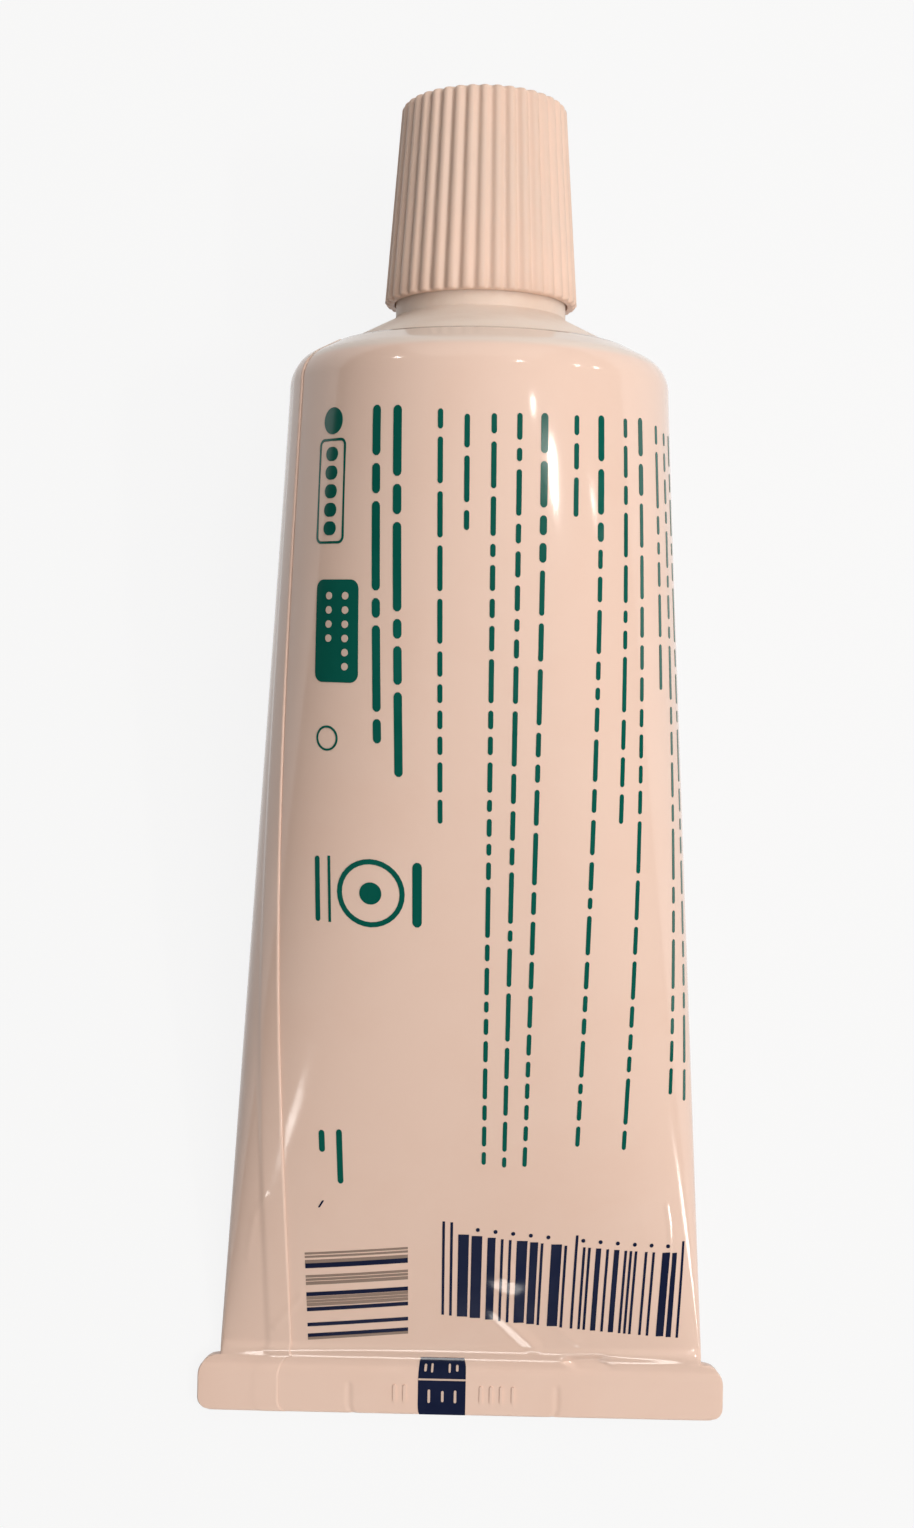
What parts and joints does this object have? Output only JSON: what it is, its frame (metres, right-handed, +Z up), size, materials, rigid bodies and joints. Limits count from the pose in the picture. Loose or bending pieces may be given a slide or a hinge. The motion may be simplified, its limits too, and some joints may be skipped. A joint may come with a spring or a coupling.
{
  "type": "toothpaste tube",
  "caption": "Full laminate squeeze tube lying on its front, welded flat at the tail, with a fluted screw cap that lifts off a threaded nozzle.",
  "frame": {"origin": "centre of the bounding box's underside, on the surface that the tube lies on", "axes": "+Y from the welded tail towards the cap, +Z up out of the printed back, +X to the right when seen from above with the cap away"},
  "size_m": [0.0628, 0.1466, 0.0397],
  "materials": {
    "laminate": "glossy white laminate in warm light, printed in dark green and navy",
    "head_moulding": "natural white polyethylene, satin",
    "foil": "embossed bright foil",
    "cap_plastic": "white polypropylene, satin"
  },
  "bodies": {
    "tube": {"sleeve": "laminate", "shoulder": "head_moulding", "foil_seal": "foil"},
    "cap": {"cap": "cap_plastic"}
  },
  "joints": [
    {"name": "cap_lift", "type": "slide", "parent": "tube", "child": "cap", "axis": [0, 0.9925, 0.1219], "range_m": [0, 0.018]}
  ]
}
